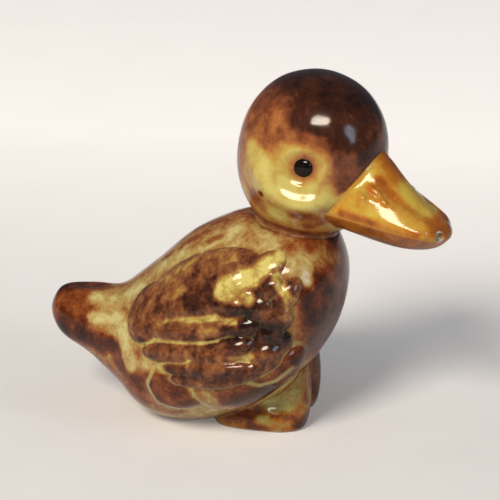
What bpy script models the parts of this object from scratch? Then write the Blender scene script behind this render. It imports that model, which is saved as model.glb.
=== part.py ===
"""Glazed earthenware duckling, a small animal figurine, sitting with its feet in front of its belly.

The figure is put together as a potter does it. The body and the head are hollow castings. The two
halves of the bill, the wings, the feet and the eye pellets are solid pressed pieces. They are luted
to the castings with slip, and the slip line is the gap between neighbours.

Metres, +Z up. The duckling looks along +X and turns its head to its right, towards -Y. The origin is
the middle of its outline on the ground.
"""

import math

import bmesh
import bpy
import numpy as np
from mathutils import Matrix, Vector
from mathutils.bvhtree import BVHTree

MM = 0.001
LUTE_GAP = 0.3 * MM
RIGHT, LEFT = -1, 1

# Body casting. Each section is a loft rib: back point (x, z), belly point (x, z) and half width.
# The belly ribs dip under the ground, where the casting is rubbed flat.
BODY_RIBS_MM = (
    (-41.4, 21.2, -41.3, 18.4, 1.4),  # tail tip
    (-39.6, 24.4, -39.2, 14.8, 4.4),  # tail paddle
    (-33.0, 25.8, -32.0, 10.4, 7.4),  # tail
    (-27.0, 25.4, -25.4, 5.4, 11.0),  # tail root
    (-20.0, 30.6, -19.5, 0.2, 16.0),  # rump
    (-10.5, 38.8, -9.0, -1.4, 19.5),  # middle of the back
    (-3.0, 42.6, 2.0, 2.5, 20.0),  # shoulders
    (-0.2, 43.4, 13.2, 11.3, 18.8),  # lower breast
    (0.4, 43.6, 20.3, 24.5, 17.0),  # breast
    (0.6, 43.6, 21.0, 33.0, 14.0),  # crop
)
BELLY_FULLNESS = 0.10
BODY_WALL = 3.0 * MM
BODY_SIDES = 40
VENT_RADIUS = 3.5 * MM
VENT_X = -9.0 * MM

# Thigh, a swelling of each flank: middle x and z, half length and half width, lean
THIGH_X = 2.5 * MM
THIGH_Z = 13.8 * MM
THIGH_LENGTH = 11.5 * MM
THIGH_WIDTH = 9.5 * MM
THIGH_LEAN = math.radians(17)
THIGH_RISE = 1.5 * MM

# Neck joint, where the head stands on the body's rim
NECK_X = 9.8 * MM
NECK_Z = 41.6 * MM
NECK_RADIUS = 9.2 * MM
NECK_TILT = math.radians(9)
HEAD_TURN = math.radians(16)
HEAD_FORWARD = 1.4 * MM

# Shallow dish in the top of the tail
TAIL_DISH_X = -34.0 * MM
TAIL_DISH_LENGTH = 15.0 * MM
TAIL_DISH_WIDTH = 6.0 * MM
TAIL_DISH_DEPTH = 1.0 * MM

# Head casting, a ball that is turned about the neck's axis
HEAD_LENGTH = 30.0 * MM
HEAD_WIDTH = 29.6 * MM
HEAD_CROWN = 31.3 * MM
HEAD_CENTRE = 14.6 * MM
HEAD_FULLNESS = 2.15
HEAD_WALL = 3.0 * MM
HEAD_SIDES = 40

# Bill, in two halves that meet on the mouth plane. Distances are from the middle of the head.
BILL_PITCH = math.radians(3)
MOUTH_DROP = 7.3 * MM
BILL_SIDES = 20
UPPER_BILL_RIBS_MM = (  # reach, half width, height of the ridge over the mouth
    (5.0, 11.0, 12.4),
    (10.0, 10.4, 12.2),
    (15.0, 9.4, 11.2),
    (17.6, 8.9, 9.2),
    (22.6, 8.0, 5.8),
    (27.0, 6.9, 3.6),
    (29.8, 5.2, 2.5),
    (31.2, 2.6, 1.4),
    (31.6, 0.8, 0.5),
)
LOWER_BILL_RIBS_MM = (  # reach, half width, depth of the chin under the mouth
    (5.0, 10.2, 4.2),
    (12.0, 9.4, 4.0),
    (18.0, 8.2, 4.2),
    (24.0, 7.0, 3.8),
    (28.0, 5.4, 2.6),
    (30.2, 3.0, 1.3),
    (30.8, 0.9, 0.5),
)
BILL_CHEEK = 1.7

# Eyes, black pellets in round dished sockets
EYE_FORWARD = math.radians(18.2)
EYE_RISE = math.radians(3.4)
PELLET_RADIUS = 1.8 * MM
PELLET_DEPTH = 1.6 * MM
PELLET_DOME = 0.7 * MM
SOCKET_RADIUS = 4.1 * MM
SOCKET_DEPTH = 1.0 * MM
EYE_SIDES = 24

# Wing, a thin pad on the flank with lobes of clay pressed on it: middle x and z, length, width,
# height of the crest over the rim, lean in degrees
WING_LOBES_MM = {
    "pad": (-2.7, 26.4, 33.5, 22.4, 0.2, 25),
    "covert": (-4.4, 32.0, 26.6, 10.6, 1.5, 22),
    "rear_covert": (-16.8, 24.6, 12.2, 7.4, 1.1, 54),
    "second_feather": (-4.7, 24.2, 21.4, 5.2, 1.5, 11),
    "third_feather": (-5.9, 19.7, 23.4, 5.2, 1.4, 9),
    "lowest_feather": (-0.2, 16.7, 22.6, 3.8, 1.0, 13),
    "small_covert": (7.2, 35.0, 7.4, 4.6, 1.5, 15),
    "wrist": (1.7, 32.6, 7.6, 6.2, 2.1, 10),
    "front_covert": (8.0, 30.2, 8.4, 6.8, 1.5, 30),
    "middle_covert": (5.0, 26.2, 8.4, 5.0, 1.9, 15),
    "lower_covert": (8.8, 25.2, 7.6, 6.8, 1.3, 60),
    "last_covert": (3.5, 22.6, 8.0, 3.8, 1.6, 18),
}
LOBE_RIM = 0.5 * MM
LOBE_FULLNESS = 3.0
LOBE_TAPER = 0.1
LOBE_SHARES = (0.35, 0.7, 0.9, 1.0)
ROOT_SHARES = (0.8, 0.35)
LOBE_SIDES = 16
LOBE_ROOT = 0.9 * MM
FLANK_LEAN_STEP = 1.0 * MM

# Feet, each a stack of rounded soles: height, middle, half length, half width
FOOT_RIBS_MM = (
    (0.0, 4.3, 9.0, 4.9),
    (0.8, 4.3, 9.5, 5.2),
    (2.4, 4.9, 9.3, 5.1),
    (5.0, 6.2, 8.3, 4.8),
    (8.5, 7.5, 7.0, 4.5),
    (13.0, 8.2, 5.8, 4.2),
)
FOOT_GAP = 0.6 * MM
FOOT_TOE_OUT = math.radians(3)
FOOT_SQUARENESS = 2.8
FOOT_SIDES = 24

RIB_STEP_MM = 3.2


def smooth_rows(rows, step):
    """Rows of numbers joined by a smooth curve, which is read again about every step."""
    rows = np.array(rows, float)
    chord = np.linalg.norm(np.diff(rows, axis=0), axis=1)
    slope = np.diff(rows, axis=0) / chord[:, None]
    before = (chord[:-1] / (chord[:-1] + chord[1:]))[:, None]
    tangent = np.vstack([slope[:1], slope[:-1] * (1 - before) + slope[1:] * before, slope[-1:]])
    read = []
    for i, length in enumerate(chord):
        count = max(1, round(length / step))
        for t in np.arange(count) / count:
            ends = (1 + 2 * t) * (1 - t) ** 2 * rows[i] + t**2 * (3 - 2 * t) * rows[i + 1]
            bends = t * (1 - t) ** 2 * tangent[i] - t**2 * (1 - t) * tangent[i + 1]
            read.append(ends + length * bends)
    return np.array(read + [rows[-1]])


def glaze(name, colour, roughness=0.12):
    """A glossy glaze in one colour, linear red, green and blue."""
    material = bpy.data.materials.new(name)
    material.use_nodes = True
    shader = material.node_tree.nodes["Principled BSDF"]
    shader.inputs["Base Color"].default_value = (*colour, 1.0)
    shader.inputs["Roughness"].default_value = roughness
    shader.inputs["Metallic"].default_value = 0.0
    return material


def add_object(name, shape, parent, material=None):
    """A named object from a bmesh, with its faces pointing out and shaded smooth."""
    bmesh.ops.remove_doubles(shape, verts=shape.verts, dist=1e-6)
    bmesh.ops.recalc_face_normals(shape, faces=shape.faces)
    mesh = bpy.data.meshes.new(name)
    shape.to_mesh(mesh)
    shape.free()
    mesh.shade_smooth()
    mesh.set_sharp_from_angle(angle=math.radians(40))
    made = bpy.data.objects.new(name, mesh)
    bpy.context.scene.collection.objects.link(made)
    made.parent = parent
    if material:
        mesh.materials.append(material)
    else:
        made.hide_render = True
        made.display_type = "WIRE"
    return made


def combine(target, tool, operation, solver="EXACT"):
    """Adds the tool's shape to the target, or takes it out."""
    boolean = target.modifiers.new(tool.name, "BOOLEAN")
    boolean.operation = operation
    boolean.solver = solver
    boolean.object = tool


def loft(rings):
    """A closed skin over rings of points, with a face over the first ring and the last."""
    shape = bmesh.new()
    rows = [[shape.verts.new(point) for point in ring] for ring in rings]
    for low, high in zip(rows, rows[1:]):
        for i in range(len(low)):
            shape.faces.new((low[i - 1], low[i], high[i], high[i - 1]))
    shape.faces.new(rows[0])
    shape.faces.new(rows[-1])
    return shape


def angles(count):
    return np.arange(count) * 2 * math.pi / count


def turned(profile, sides, flatten=1.0):
    """Rings about the Z axis through (radius, height) pairs, with the Y axis flattened."""
    around = angles(sides)
    return [
        np.stack([r * np.cos(around), flatten * r * np.sin(around), np.full(sides, z)], axis=1)
        for r, z in profile
    ]


def body_ribs():
    """The body's loft ribs in metres, ending on the neck's rim."""
    rise = Vector((-math.cos(NECK_TILT), math.sin(NECK_TILT))) * NECK_RADIUS
    rim = (NECK_X + rise.x, NECK_Z + rise.y, NECK_X - rise.x, NECK_Z - rise.y, NECK_RADIUS)
    rim_mm = [value / MM for value in rim]
    return smooth_rows([*BODY_RIBS_MM, rim_mm], RIB_STEP_MM) * MM


def from_middle(away, lean, half_length, half_width):
    """How far a place is from the middle of a leaning oval, where 1 is on its edge."""
    along = away[0] * math.cos(lean) + away[1] * math.sin(lean)
    across = away[1] * math.cos(lean) - away[0] * math.sin(lean)
    return np.hypot(along / half_length, across / half_width)


def thigh_swell(x, z):
    """How far the thigh stands out of the flank at (x, z)."""
    away = from_middle((x - THIGH_X, z - THIGH_Z), THIGH_LEAN, THIGH_LENGTH, THIGH_WIDTH)
    return THIGH_RISE * np.clip(1 - away**2, 0, None)


def body_rings(ribs, grow=0.0):
    """An egg-shaped ring on each rib, made larger or smaller by grow."""
    around = angles(BODY_SIDES)
    rings = []
    for back_x, back_z, belly_x, belly_z, half_width in ribs:
        middle = np.array([(back_x + belly_x) / 2, (back_z + belly_z) / 2])
        upward = np.array([back_x, back_z]) - middle
        upward *= 1 + grow / np.linalg.norm(upward)
        across = (half_width + grow) * np.sin(around) * (1 - BELLY_FULLNESS * np.cos(around))
        plane = middle + np.outer(np.cos(around), upward)
        across += np.sin(around) * thigh_swell(plane[:, 0], plane[:, 1])
        rings.append(np.stack([plane[:, 0], across, plane[:, 1]], axis=1))
    return rings


def flatten_base(shape):
    """Rubs the belly flat on the ground."""
    ground = bmesh.ops.bisect_plane(
        shape,
        geom=[*shape.verts, *shape.edges, *shape.faces],
        plane_co=(0, 0, 0),
        plane_no=(0, 0, -1),
        clear_outer=True,
    )
    rim = [part for part in ground["geom_cut"] if isinstance(part, bmesh.types.BMEdge)]
    bmesh.ops.holes_fill(shape, edges=rim)


def make_body(root):
    """The hollow body with its tail, open at the neck and vented through the flat base.

    The hollow is plainer than the outside, with a ring on every third rib.
    """
    ribs = body_ribs()
    half_heights = np.hypot(ribs[:, 0] - ribs[:, 2], ribs[:, 1] - ribs[:, 3]) / 2
    roomy = np.minimum(half_heights, ribs[:, 4]) > 2 * BODY_WALL
    inner = body_rings(ribs[roomy][::-1][::3], -BODY_WALL)
    shape = loft([*body_rings(ribs), *inner])
    flatten_base(shape)
    body = add_object("body", shape, root, glaze("body_glaze", (0.19, 0.10, 0.03)))

    around = turned([(VENT_RADIUS, -BODY_WALL), (VENT_RADIUS, 2 * BODY_WALL)], EYE_SIDES)
    vent = add_object("vent_cutter", loft(around), root)
    vent.location.x = VENT_X
    combine(body, vent, "DIFFERENCE")

    dish = bmesh.new()
    bmesh.ops.create_uvsphere(dish, u_segments=24, v_segments=12, radius=1.0)
    half_sizes = (TAIL_DISH_LENGTH / 2, TAIL_DISH_WIDTH / 2, TAIL_DISH_DEPTH)
    bmesh.ops.scale(dish, verts=dish.verts, vec=half_sizes)
    dish_cutter = add_object("tail_dish_cutter", dish, root)
    tail_top = np.interp(TAIL_DISH_X, ribs[:, 0], ribs[:, 1])
    dish_cutter.location = (TAIL_DISH_X, 0, tail_top)
    combine(body, dish_cutter, "DIFFERENCE")
    return body


def make_body_envelope(root):
    """The body's outside, grown by the slip line. Other pieces are cut back to it."""
    return add_object("body_envelope", loft(body_rings(body_ribs(), LUTE_GAP)), root)


def head_profile(grow=0.0):
    """(radius, height) from the crown down to the seat, with the heights from the seat."""
    half = HEAD_LENGTH / 2 + grow
    rise = HEAD_CROWN - HEAD_CENTRE + grow
    power = 2 / HEAD_FULLNESS
    seat = -math.asin(min(1.0, HEAD_CENTRE / rise) ** (1 / power))
    return [
        (
            half * math.cos(a) ** power,
            HEAD_CENTRE + rise * math.copysign(abs(math.sin(a)) ** power, a),
        )
        for a in np.linspace(math.pi / 2, seat, 20)
    ]


def make_head(turn):
    """The hollow head, open at the neck, with an eye socket in each side."""
    bore = NECK_RADIUS - BODY_WALL
    hollow = [(r, z) for r, z in head_profile(-HEAD_WALL) if r > bore or z > HEAD_CENTRE]
    profile = [*head_profile(), (bore, 0.0), *hollow[::-2]]
    rings = turned(profile, HEAD_SIDES, HEAD_WIDTH / HEAD_LENGTH)
    head = add_object("head", loft(rings), turn, glaze("head_glaze", (0.15, 0.07, 0.025)))
    for side in (RIGHT, LEFT):
        combine(head, make_socket_cutter(turn, side), "DIFFERENCE")
    return head


def make_head_envelope(turn):
    """The head's outside, grown by the slip line. The bill is cut back to it."""
    rings = turned(head_profile(LUTE_GAP), HEAD_SIDES, HEAD_WIDTH / HEAD_LENGTH)
    return add_object("head_envelope", loft(rings), turn)


def eye_place(side):
    """The frame of an eye on the head's outside, with Z pointing out."""
    out = Vector(
        (
            math.sin(EYE_FORWARD) * math.cos(EYE_RISE),
            side * math.cos(EYE_FORWARD) * math.cos(EYE_RISE),
            math.sin(EYE_RISE),
        )
    )
    level = math.hypot(out.x / (HEAD_LENGTH / 2), out.y / (HEAD_WIDTH / 2))
    rise = abs(out.z) / (HEAD_CROWN - HEAD_CENTRE)
    reach = (level**HEAD_FULLNESS + rise**HEAD_FULLNESS) ** (-1 / HEAD_FULLNESS)
    place = Matrix.Translation(out * reach + Vector((0, 0, HEAD_CENTRE)))
    return place @ out.to_track_quat("Z", "Y").to_matrix().to_4x4()


def make_socket_cutter(turn, side):
    """A dish with a bore in its floor, which leaves the slip line round the pellet."""
    bore = PELLET_RADIUS + LUTE_GAP
    floor = SOCKET_DEPTH + PELLET_DEPTH + LUTE_GAP
    profile = [
        (SOCKET_RADIUS * 1.4, SOCKET_DEPTH),
        (SOCKET_RADIUS, -(SOCKET_RADIUS**2) / HEAD_LENGTH),
        (bore, -SOCKET_DEPTH),
        (bore, -floor),
    ]
    name = "right_socket_cutter" if side == RIGHT else "left_socket_cutter"
    cutter = add_object(name, loft(turned(profile, EYE_SIDES)), turn)
    cutter.matrix_local = eye_place(side)
    return cutter


def make_eye(turn, side):
    """A black pellet with a domed face, seated in its socket's bore."""
    face = -SOCKET_DEPTH + PELLET_DOME
    dome = [
        (PELLET_RADIUS * math.cos(a), face - PELLET_DOME * (1 - math.sin(a)))
        for a in np.linspace(math.pi / 2, 0, 6)
    ]
    profile = [*dome, (PELLET_RADIUS, -SOCKET_DEPTH - PELLET_DEPTH)]
    name = "right_eye" if side == RIGHT else "left_eye"
    black = glaze(name, (0.004, 0.004, 0.004), 0.05)
    eye = add_object(name, loft(turned(profile, EYE_SIDES)), turn, black)
    eye.matrix_local = eye_place(side)
    return eye


def bill_rings(ribs_mm, upward):
    """Arched rings along the bill, over the mouth plane or under it, half a slip line off it."""
    sweep = np.linspace(-1, 1, BILL_SIDES)
    mouth = upward * LUTE_GAP / 2 - MOUTH_DROP
    rings = []
    for reach, half_width, height in smooth_rows(ribs_mm, RIB_STEP_MM * 0.6) * MM:
        across = half_width * np.sin(sweep * math.pi / 2)
        arch = height * np.cos(sweep * math.pi / 2) ** BILL_CHEEK
        rings.append(np.stack([np.full(BILL_SIDES, reach), across, mouth + upward * arch], axis=1))
    return rings


def make_bill_half(seat, head_envelope, name, ribs_mm, upward, colour):
    """One half of the bill, cut to the round of the face that it is luted to."""
    half = add_object(name, loft(bill_rings(ribs_mm, upward)), seat, glaze(name, colour))
    combine(half, head_envelope, "DIFFERENCE")
    return half


def flank_finder(side):
    """A function that gives a point on the body's flank, at (x, z) and a height over the slip line."""
    shape = loft(body_rings(body_ribs()))
    tree = BVHTree.FromBMesh(shape)
    shape.free()
    step = FLANK_LEAN_STEP
    far = 1.0

    def depth(x, z):
        return tree.ray_cast(Vector((x, side * far, z)), Vector((0, -side, 0)))[0].y

    def find(x, z, height):
        lean_x = (depth(x + step, z) - depth(x - step, z)) / (2 * step)
        lean_z = (depth(x, z + step) - depth(x, z - step)) / (2 * step)
        out = Vector((-lean_x * side, 1, -lean_z * side)).normalized()
        out = Vector((out.x, out.y * side, out.z))
        return Vector((x, depth(x, z), z)) + out * (LUTE_GAP + height)

    return find


def lobe_rings(find, lobe_mm, root_depth):
    """Rings from a lobe's crest out to its rim, and back to its middle under the flank."""
    middle_x, middle_z, length, width, height = (value * MM for value in lobe_mm[:5])
    lean = math.radians(lobe_mm[5])
    around = angles(LOBE_SIDES)
    along = length / 2 * np.cos(around)
    across = width / 2 * np.sin(around) * (1 + LOBE_TAPER * np.cos(around))
    x = along * math.cos(lean) - across * math.sin(lean)
    z = along * math.sin(lean) + across * math.cos(lean)
    crown = [(share, LOBE_RIM + height * math.sqrt(1 - share**LOBE_FULLNESS)) for share in LOBE_SHARES]
    root = [(share, -root_depth) for share in ROOT_SHARES]
    return [
        [find(*place, rise) for place in zip(middle_x + share * x, middle_z + share * z)]
        for share, rise in [*crown, *root]
    ]


def make_wing(root, body_envelope, side):
    """A wing of lapping lobes, coverts over flight feathers, that follows the flank.

    Each lobe's root is a little deeper than the one before, so that no two roots lie in one face.
    """
    find = flank_finder(side)
    name = "right_wing" if side == RIGHT else "left_wing"
    wing = None
    for number, (lobe_name, lobe_mm) in enumerate(WING_LOBES_MM.items()):
        root_depth = LOBE_ROOT + number * LUTE_GAP / 2
        shape = loft(lobe_rings(find, lobe_mm, root_depth))
        if wing:
            combine(wing, add_object(f"{name}_{lobe_name}", shape, root), "UNION", "MANIFOLD")
        else:
            wing = add_object(name, shape, root, glaze(name, (0.12, 0.05, 0.02)))
    combine(wing, body_envelope, "DIFFERENCE", "MANIFOLD")
    return wing


def rounded(wave):
    """A sine or cosine that draws a squarer outline than a circle."""
    return np.sign(wave) * np.abs(wave) ** (2 / FOOT_SQUARENESS)


def foot_reach(half_length, half_width):
    """How far an outline that is turned out by the toe angle reaches to its side."""
    power = FOOT_SQUARENESS / (FOOT_SQUARENESS - 1)
    from_length = half_length * math.sin(FOOT_TOE_OUT)
    from_width = half_width * math.cos(FOOT_TOE_OUT)
    return (from_length**power + from_width**power) ** (1 / power)


def make_foot(root, body_envelope, side):
    """A foot with its stub of leg, cut back to the belly above it."""
    around = angles(FOOT_SIDES)
    ribs = smooth_rows(FOOT_RIBS_MM, RIB_STEP_MM * 0.5) * MM
    from_other = max(foot_reach(*rib[2:]) for rib in ribs) + FOOT_GAP / 2
    rings = []
    for height, middle, half_length, half_width in ribs:
        along = half_length * rounded(np.cos(around))
        spread = half_width * rounded(np.sin(around))
        turn = side * FOOT_TOE_OUT
        x = middle + along * math.cos(turn) - spread * math.sin(turn)
        y = side * from_other + along * math.sin(turn) + spread * math.cos(turn)
        rings.append(np.stack([x, y, np.full(FOOT_SIDES, height)], axis=1))
    name = "right_foot" if side == RIGHT else "left_foot"
    foot = add_object(name, loft(rings), root, glaze(name, (0.22, 0.09, 0.02)))
    combine(foot, body_envelope, "DIFFERENCE")
    return foot


def add_empty(name, parent):
    made = bpy.data.objects.new(name, None)
    bpy.context.scene.collection.objects.link(made)
    made.parent = parent
    return made


def centre_on_footprint(root, pieces):
    """Moves the whole figure so that the middle of its outline is over the origin."""
    bpy.context.view_layer.update()
    graph = bpy.context.evaluated_depsgraph_get()
    corners = []
    for piece in pieces:
        evaluated = piece.evaluated_get(graph)
        corners += [evaluated.matrix_world @ vertex.co for vertex in evaluated.data.vertices]
    corners = np.array(corners)
    middle = (corners.min(axis=0) + corners.max(axis=0)) / 2
    root.location = (-middle[0], -middle[1], 0)


def main():
    for old in list(bpy.data.objects):
        bpy.data.objects.remove(old)

    root = add_empty("duckling", None)
    neck = add_empty("neck_joint", root)
    neck.location = (NECK_X, 0, NECK_Z)
    neck.rotation_euler = (0, NECK_TILT, 0)
    turn = add_empty("head_turn", neck)
    turn.location = (HEAD_FORWARD, 0, LUTE_GAP)
    turn.rotation_euler = (0, 0, RIGHT * HEAD_TURN)
    bill_seat = add_empty("bill_seat", turn)
    bill_seat.location = (0, 0, HEAD_CENTRE)
    bill_seat.rotation_euler = (0, BILL_PITCH, 0)

    pieces = [make_body(root)]
    body_envelope = make_body_envelope(root)
    pieces.append(make_head(turn))
    head_envelope = make_head_envelope(turn)
    for name, ribs_mm, upward, colour in (
        ("upper_bill", UPPER_BILL_RIBS_MM, 1, (0.35, 0.15, 0.02)),
        ("lower_bill", LOWER_BILL_RIBS_MM, -1, (0.28, 0.10, 0.03)),
    ):
        pieces.append(make_bill_half(bill_seat, head_envelope, name, ribs_mm, upward, colour))
    for side in (RIGHT, LEFT):
        pieces.append(make_eye(turn, side))
        pieces.append(make_wing(root, body_envelope, side))
        pieces.append(make_foot(root, body_envelope, side))
    centre_on_footprint(root, pieces)


main()
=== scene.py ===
import math

import bpy
import numpy as np
from mathutils import Matrix, Vector
from mathutils.bvhtree import BVHTree


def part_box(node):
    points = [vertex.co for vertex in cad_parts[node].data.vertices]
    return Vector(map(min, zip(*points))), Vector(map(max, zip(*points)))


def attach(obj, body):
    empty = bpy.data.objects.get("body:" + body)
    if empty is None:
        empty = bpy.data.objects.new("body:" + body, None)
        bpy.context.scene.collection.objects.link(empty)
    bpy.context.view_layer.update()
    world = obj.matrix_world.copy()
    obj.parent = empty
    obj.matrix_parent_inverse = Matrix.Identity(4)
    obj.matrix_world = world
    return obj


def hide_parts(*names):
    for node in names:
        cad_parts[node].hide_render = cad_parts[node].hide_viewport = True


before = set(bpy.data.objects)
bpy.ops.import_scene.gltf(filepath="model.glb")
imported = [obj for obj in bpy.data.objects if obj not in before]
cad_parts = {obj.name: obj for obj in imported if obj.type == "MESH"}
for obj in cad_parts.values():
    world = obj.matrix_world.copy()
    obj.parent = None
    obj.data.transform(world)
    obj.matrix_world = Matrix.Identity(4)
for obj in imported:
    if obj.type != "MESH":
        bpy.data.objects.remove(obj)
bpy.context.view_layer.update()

# Body
# The body and the tail are one hollow earthenware casting, with a vent in its flat base. The thighs
# swell out of the flanks, and a dish is pressed into the tail. It is brushed with iron oxide and
# dipped in an olive glaze, and its base is wiped bare to stand in the kiln. Shade under the head and a
# sheen on the breast are painted into its colour.
MM = 0.001
RIGHT, LEFT = -1, 1
UP = Vector((0, 0, 1))
# The grain is the size of a skin's faces, and the passes say how often it is smoothed
BODY_GRAIN, BODY_PASSES = 0.8 * MM, 5
SKIN_GRAIN, SKIN_PASSES = 0.45 * MM, 2
WOBBLE, WOBBLE_SIZE = 0.25 * MM, 7 * MM
BASE_RUB = 0.08 * MM
RUB_BLOCK = 200 * MM
LUMP_SIDES, LUMP_RINGS = 48, 24
# The dish on the tail: its middle and half sizes in mm, and the way it faces
TAIL_DISH = Vector((-34.6, 0.0, 27.4))
TAIL_DISH_SIZE = (7.4, 3.6, 2.6)
TAIL_DISH_WAY = Vector((-0.05, 0, 1))
# Lobes on a flank: middle x and z, length, width, height in mm, lean in degrees, bow in mm
THIGH_LOBES = (
    (2.4, 14.4, 21.4, 16.2, 2.3, 17, 0.0),
    (9.0, 17.0, 12.4, 6.0, 2.6, 34, 0.0),
    (-10.4, 11.4, 13.0, 10.4, 2.0, 10, 0.0),
)
# Strokes of iron, as they are on the right side: start and end, half width, all in mm, and how thick
# the iron is, from 0 for none to 1. Those marked below paint shade under the head and a sheen instead
BODY_GROUND = 0.27
BODY_STROKES = (
    ((-26.0, 0.0, 27.0), (-12.0, 0.0, 37.8), 2.6, 0.42),  # back
    ((-12.0, 0.0, 37.8), (0.0, 0.0, 43.8), 3.4, 0.42),
    ((-16.0, -4.2, 34.2), (-5.0, -5.6, 41.2), 1.3, 0.46),
    ((-13.0, -7.2, 35.0), (-8.0, -8.2, 38.0), 1.0, 0.42),
    ((-16.5, -7.0, 32.8), (-4.0, -9.6, 39.0), 1.5, 0.12),
    ((-5.0, -8.0, 40.2), (3.5, -9.3, 42.0), 2.2, 0.14),
    ((-6.8, -8.4, 38.9), (-4.0, -8.2, 40.4), 1.0, 0.48),
    ((1.0, -13.5, 37.6), (5.5, -12.5, 40.4), 2.8, 0.10),  # neck
    ((6.0, -11.6, 41.0), (5.0, -6.0, 43.0), 2.2, 0.18),
    # painted shade under the head, brushed as darker iron
    ((9.6, -13.6, 39.4), (12.4, -12.0, 40.0), 1.7, 0.44),
    ((6.0, -13.8, 39.0), (11.0, -14.0, 37.0), 2.2, 0.08),
    # painted shade under the chin and the bill, brushed as darker iron
    ((12.4, -11.0, 41.0), (18.4, -5.0, 39.6), 2.4, 0.40),
    ((20.8, 0.0, 34.0), (18.5, 0.0, 20.0), 8.5, 0.70),  # breast
    ((18.4, -9.0, 37.2), (20.4, -5.0, 36.6), 2.0, 0.36),
    ((17.4, -12.4, 29.4), (18.0, -11.6, 25.0), 6.0, 0.82),
    ((15.6, -14.4, 34.6), (16.6, -13.6, 33.2), 1.5, 0.50),
    # painted sheen: paler glaze on the upper edge of the breast, where it catches the light
    ((14.0, -12.6, 38.4), (14.6, -14.0, 34.6), 1.5, 0.10),
    ((16.8, -11.6, 33.0), (18.6, -9.6, 31.6), 1.5, 0.82),
    ((16.4, -11.0, 20.6), (11.5, -15.0, 18.0), 4.2, 0.76),
    ((2.0, -17.8, 12.4), (7.0, -16.8, 12.6), 4.2, 0.90),  # thigh
    ((7.6, -17.0, 16.0), (11.6, -15.4, 17.6), 2.4, 0.66),
    ((-4.6, -18.6, 13.4), (-2.4, -18.6, 14.4), 1.4, 0.24),
    ((-10.6, -18.4, 12.6), (-9.0, -18.0, 10.0), 4.4, 0.66),  # belly
    ((-15.6, -17.4, 12.0), (-14.0, -17.0, 8.6), 2.4, 0.72),
    ((-13.4, -18.2, 15.4), (-12.4, -18.4, 16.0), 0.9, 0.12),
    ((-42.0, 0.0, 21.5), (-34.0, -5.2, 22.4), 4.0, 0.52),  # tail
    ((-38.6, 0.0, 25.2), (-31.0, 0.0, 26.2), 2.6, 0.76),
    ((-38.0, -4.6, 19.6), (-33.0, -6.4, 19.8), 1.8, 0.66),
    ((-39.0, -3.2, 16.8), (-28.6, -8.6, 16.2), 2.6, 0.80),
    ((-30.0, -6.0, 9.0), (-20.0, -13.0, 8.0), 4.4, 0.56),
    ((-26.0, -11.0, 16.6), (-23.6, -12.6, 15.6), 1.7, 0.86),
    ((-24.0, -12.4, 14.0), (-17.0, -16.6, 10.2), 2.0, 0.70),
    ((-31.0, -4.4, 24.8), (-20.4, -8.4, 27.8), 1.7, 0.04),
    ((-36.0, -5.4, 22.8), (-23.5, -9.6, 24.2), 0.8, 0.46),
    ((-31.0, -7.4, 20.9), (-23.6, -10.4, 21.9), 1.2, 0.05),
    ((-22.8, -11.6, 20.6), (-20.8, -15.4, 14.4), 1.7, 0.06),
    ((-20.0, -14.0, 3.4), (-9.0, -15.5, 3.6), 1.6, 0.36),  # foot of the belly
    ((-6.6, -14.7, 5.0), (1.6, -10.4, 4.1), 2.6, 0.20),
)
# Thin lines where the glaze ran off an edge on a flank: points in x and z, in mm
BODY_LINES = (
    ((-7.6, 15.0), (-6.2, 10.8), (-4.0, 7.6), (-0.5, 6.2)),
    ((-0.5, 6.2), (3.1, 6.3), (6.1, 8.6), (9.7, 11.3), (14.4, 14.2)),
    ((3.6, 15.6), (6.6, 13.9), (9.6, 14.6), (12.6, 17.0)),
    ((-15.0, 15.4), (-16.6, 11.6), (-14.6, 7.6), (-9.6, 6.4), (-5.4, 7.4)),
)
LINE_WIDTH = 0.40
# Where coats start and end: a stroke in shares of its half width, and the others in mm. Lines go by
# their distance from the body's middle, the pooled rim and the run of iron by theirs from a wing, the
# lower part of a wing and the bare clay by their height, and a hollow by its depth
STROKE_EDGE = (0.45, 1.5)
LINE_EDGE = (6.0, 9.0)
RIM_EDGE = (0.4, 0.9)
RUN_EDGE = (0.0, 2.2)
LOW_EDGE = (20.0, 26.0)
BARE_EDGE = (0.15, 0.35)
HOLLOW_EDGE = (0.08, 0.30)
HOLLOW_PASSES = 30
RUN_IRON = 0.44
CREST_IRON = 0.4
# How much of the pooled glaze lies on rims, lines and in hollows, how far it thins the iron under it,
# and how much it covers
RIM_POOL, LINE_POOL, HOLLOW_POOL = 0.6, 0.8, 0.7
POOL_THINS, POOL_COVERS = 0.85, 0.7
# Glaze by the thickness of the iron under it: clear olive yellow, amber, red-brown, near black
BODY_COATS = (
    (0.00, "#CABC80"),
    (0.20, "#B3985A"),
    (0.40, "#9C6A38"),
    (0.56, "#84441F"),
    (0.76, "#5C2A12"),
    (1.00, "#2C130A"),
)
POOL_COLOUR = "#A79C58"
CLAY_COLOUR = "#B9B0A4"
# Sizes of the blotches and specks in the iron and of the ripples in the glaze. The blotches are drawn
# out upright, where the glaze ran
BLOTCH, SPECK, RIPPLE = 2.6 * MM, 0.8 * MM, 1.9 * MM
BLOTCH_RUN = 0.85
RIPPLE_HEIGHT, RIPPLE_STRENGTH = 0.08 * MM, 0.22
# How strongly the blotches and the specks break up the iron
BODY_BREAK = (0.85, 0.4)
# A clear glaze has an IOR of about 1.5. It is lower here, because the dark glaze mirrors little
GLAZE_IOR = 1.37
GLAZE_ROUGHNESS, SPECK_ROUGHNESS, CLAY_ROUGHNESS = 0.10, 0.06, 0.65


def select_only(*pieces):
    """Selects these pieces alone, with the first one active."""
    bpy.ops.object.select_all(action="DESELECT")
    for piece in pieces:
        piece.select_set(True)
    bpy.context.view_layer.objects.active = pieces[0]


def modify(piece, kind, **settings):
    """Adds a modifier with these settings and applies it."""
    select_only(piece)
    modifier = piece.modifiers.new(kind, kind)
    for name, value in settings.items():
        setattr(modifier, name, value)
    bpy.ops.object.modifier_apply(modifier=modifier.name)


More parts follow.
